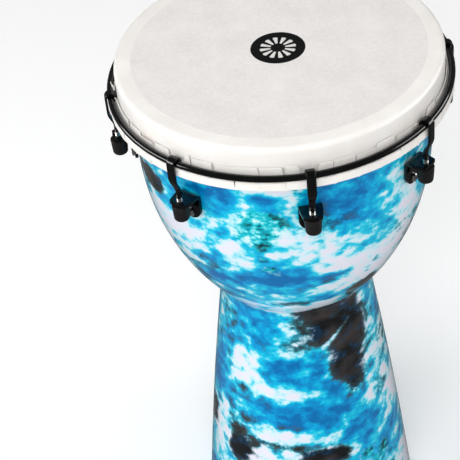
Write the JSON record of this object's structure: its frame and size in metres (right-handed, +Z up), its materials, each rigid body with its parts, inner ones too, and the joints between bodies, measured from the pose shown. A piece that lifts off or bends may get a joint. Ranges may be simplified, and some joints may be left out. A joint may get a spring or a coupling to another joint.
{
  "type": "djembe",
  "caption": "Goblet-shaped hand drum: glossy moulded shell, film head folded on a hoop, rim ring, and tuning hooks drawn down through lug brackets by nuts.",
  "frame": {"origin": "centre of the foot's bottom face, on the surface that the drum stands on", "axes": "+Z up along the drum's axis to the playing face, +X towards the first tuning hook"},
  "size_m": [0.3394, 0.3394, 0.6102],
  "materials": {
    "shell": "glossy clear-coated tie-dye print in white, cyan, blue and charcoal on a moulded synthetic shell",
    "head_film": "translucent white polyester film, semi-matte",
    "head_coating": "fine rough sprayed coating, warm light grey, matte",
    "centre_mark": "black printed ink, satin",
    "hoop_steel": "plain drawn steel",
    "black_ring": "gloss black powder coat",
    "black_hooks": "gloss black powder coat, threaded ends bright zinc plated",
    "black_brackets": "gloss black powder coat",
    "nut_steel": "zinc plated steel",
    "nut_caps": "matte black moulded rubber",
    "washer_black": "black oxide steel, satin",
    "washer_steel": "zinc plated steel",
    "bolt_steel": "bright zinc plated steel"
  },
  "bodies": {
    "shell": {"shell": "shell", "lug_bracket_1": "black_brackets", "lug_bracket_2": "black_brackets", "lug_bracket_3": "black_brackets", "lug_bracket_4": "black_brackets", "lug_bracket_5": "black_brackets", "lug_bracket_6": "black_brackets", "lug_bracket_7": "black_brackets", "lug_bracket_8": "black_brackets", "nut_washers": "washer_black", "lug_bolts": "bolt_steel", "lug_bolt_washers": "washer_steel", "lug_bolt_nuts": "bolt_steel"},
    "head": {"head_film": "head_film", "head_coating": "head_coating", "centre_mark": "centre_mark", "flesh_hoop": "hoop_steel", "rim_ring": "black_ring", "hook_1": "black_hooks", "hook_2": "black_hooks", "hook_3": "black_hooks", "hook_4": "black_hooks", "hook_5": "black_hooks", "hook_6": "black_hooks", "hook_7": "black_hooks", "hook_8": "black_hooks"},
    "nut_1": {"tuning_nut_1": "nut_steel", "nut_cap_1": "nut_caps"},
    "nut_2": {"tuning_nut_2": "nut_steel", "nut_cap_2": "nut_caps"},
    "nut_3": {"tuning_nut_3": "nut_steel", "nut_cap_3": "nut_caps"},
    "nut_4": {"tuning_nut_4": "nut_steel", "nut_cap_4": "nut_caps"},
    "nut_5": {"tuning_nut_5": "nut_steel", "nut_cap_5": "nut_caps"},
    "nut_6": {"tuning_nut_6": "nut_steel", "nut_cap_6": "nut_caps"},
    "nut_7": {"tuning_nut_7": "nut_steel", "nut_cap_7": "nut_caps"},
    "nut_8": {"tuning_nut_8": "nut_steel", "nut_cap_8": "nut_caps"}
  },
  "joints": [
    {"name": "head_lift", "type": "slide", "parent": "shell", "child": "head", "axis": [0, 0, 1], "range_m": [0, 0.006]},
    {"name": "nut_turn_1", "type": "hinge", "parent": "shell", "child": "nut_1", "pos_m": [0.1614, 0, 0.53], "axis": [0, 0, 1], "range_deg": [-2160, 0]},
    {"name": "nut_turn_2", "type": "hinge", "parent": "shell", "child": "nut_2", "pos_m": [0.11413, 0.11413, 0.53], "axis": [0, 0, 1], "range_deg": [-2160, 0]},
    {"name": "nut_turn_3", "type": "hinge", "parent": "shell", "child": "nut_3", "pos_m": [0, 0.1614, 0.53], "axis": [0, 0, 1], "range_deg": [-2160, 0]},
    {"name": "nut_turn_4", "type": "hinge", "parent": "shell", "child": "nut_4", "pos_m": [-0.11413, 0.11413, 0.53], "axis": [0, 0, 1], "range_deg": [-2160, 0]},
    {"name": "nut_turn_5", "type": "hinge", "parent": "shell", "child": "nut_5", "pos_m": [-0.1614, 0, 0.53], "axis": [0, 0, 1], "range_deg": [-2160, 0]},
    {"name": "nut_turn_6", "type": "hinge", "parent": "shell", "child": "nut_6", "pos_m": [-0.11413, -0.11413, 0.53], "axis": [0, 0, 1], "range_deg": [-2160, 0]},
    {"name": "nut_turn_7", "type": "hinge", "parent": "shell", "child": "nut_7", "pos_m": [0, -0.1614, 0.53], "axis": [0, 0, 1], "range_deg": [-2160, 0]},
    {"name": "nut_turn_8", "type": "hinge", "parent": "shell", "child": "nut_8", "pos_m": [0.11413, -0.11413, 0.53], "axis": [0, 0, 1], "range_deg": [-2160, 0]}
  ],
  "couplings": [
    {"joint": "nut_turn_1", "follows": "head_lift", "rad_per_m": -6283.2},
    {"joint": "nut_turn_2", "follows": "head_lift", "rad_per_m": -6283.2},
    {"joint": "nut_turn_3", "follows": "head_lift", "rad_per_m": -6283.2},
    {"joint": "nut_turn_4", "follows": "head_lift", "rad_per_m": -6283.2},
    {"joint": "nut_turn_5", "follows": "head_lift", "rad_per_m": -6283.2},
    {"joint": "nut_turn_6", "follows": "head_lift", "rad_per_m": -6283.2},
    {"joint": "nut_turn_7", "follows": "head_lift", "rad_per_m": -6283.2},
    {"joint": "nut_turn_8", "follows": "head_lift", "rad_per_m": -6283.2}
  ]
}
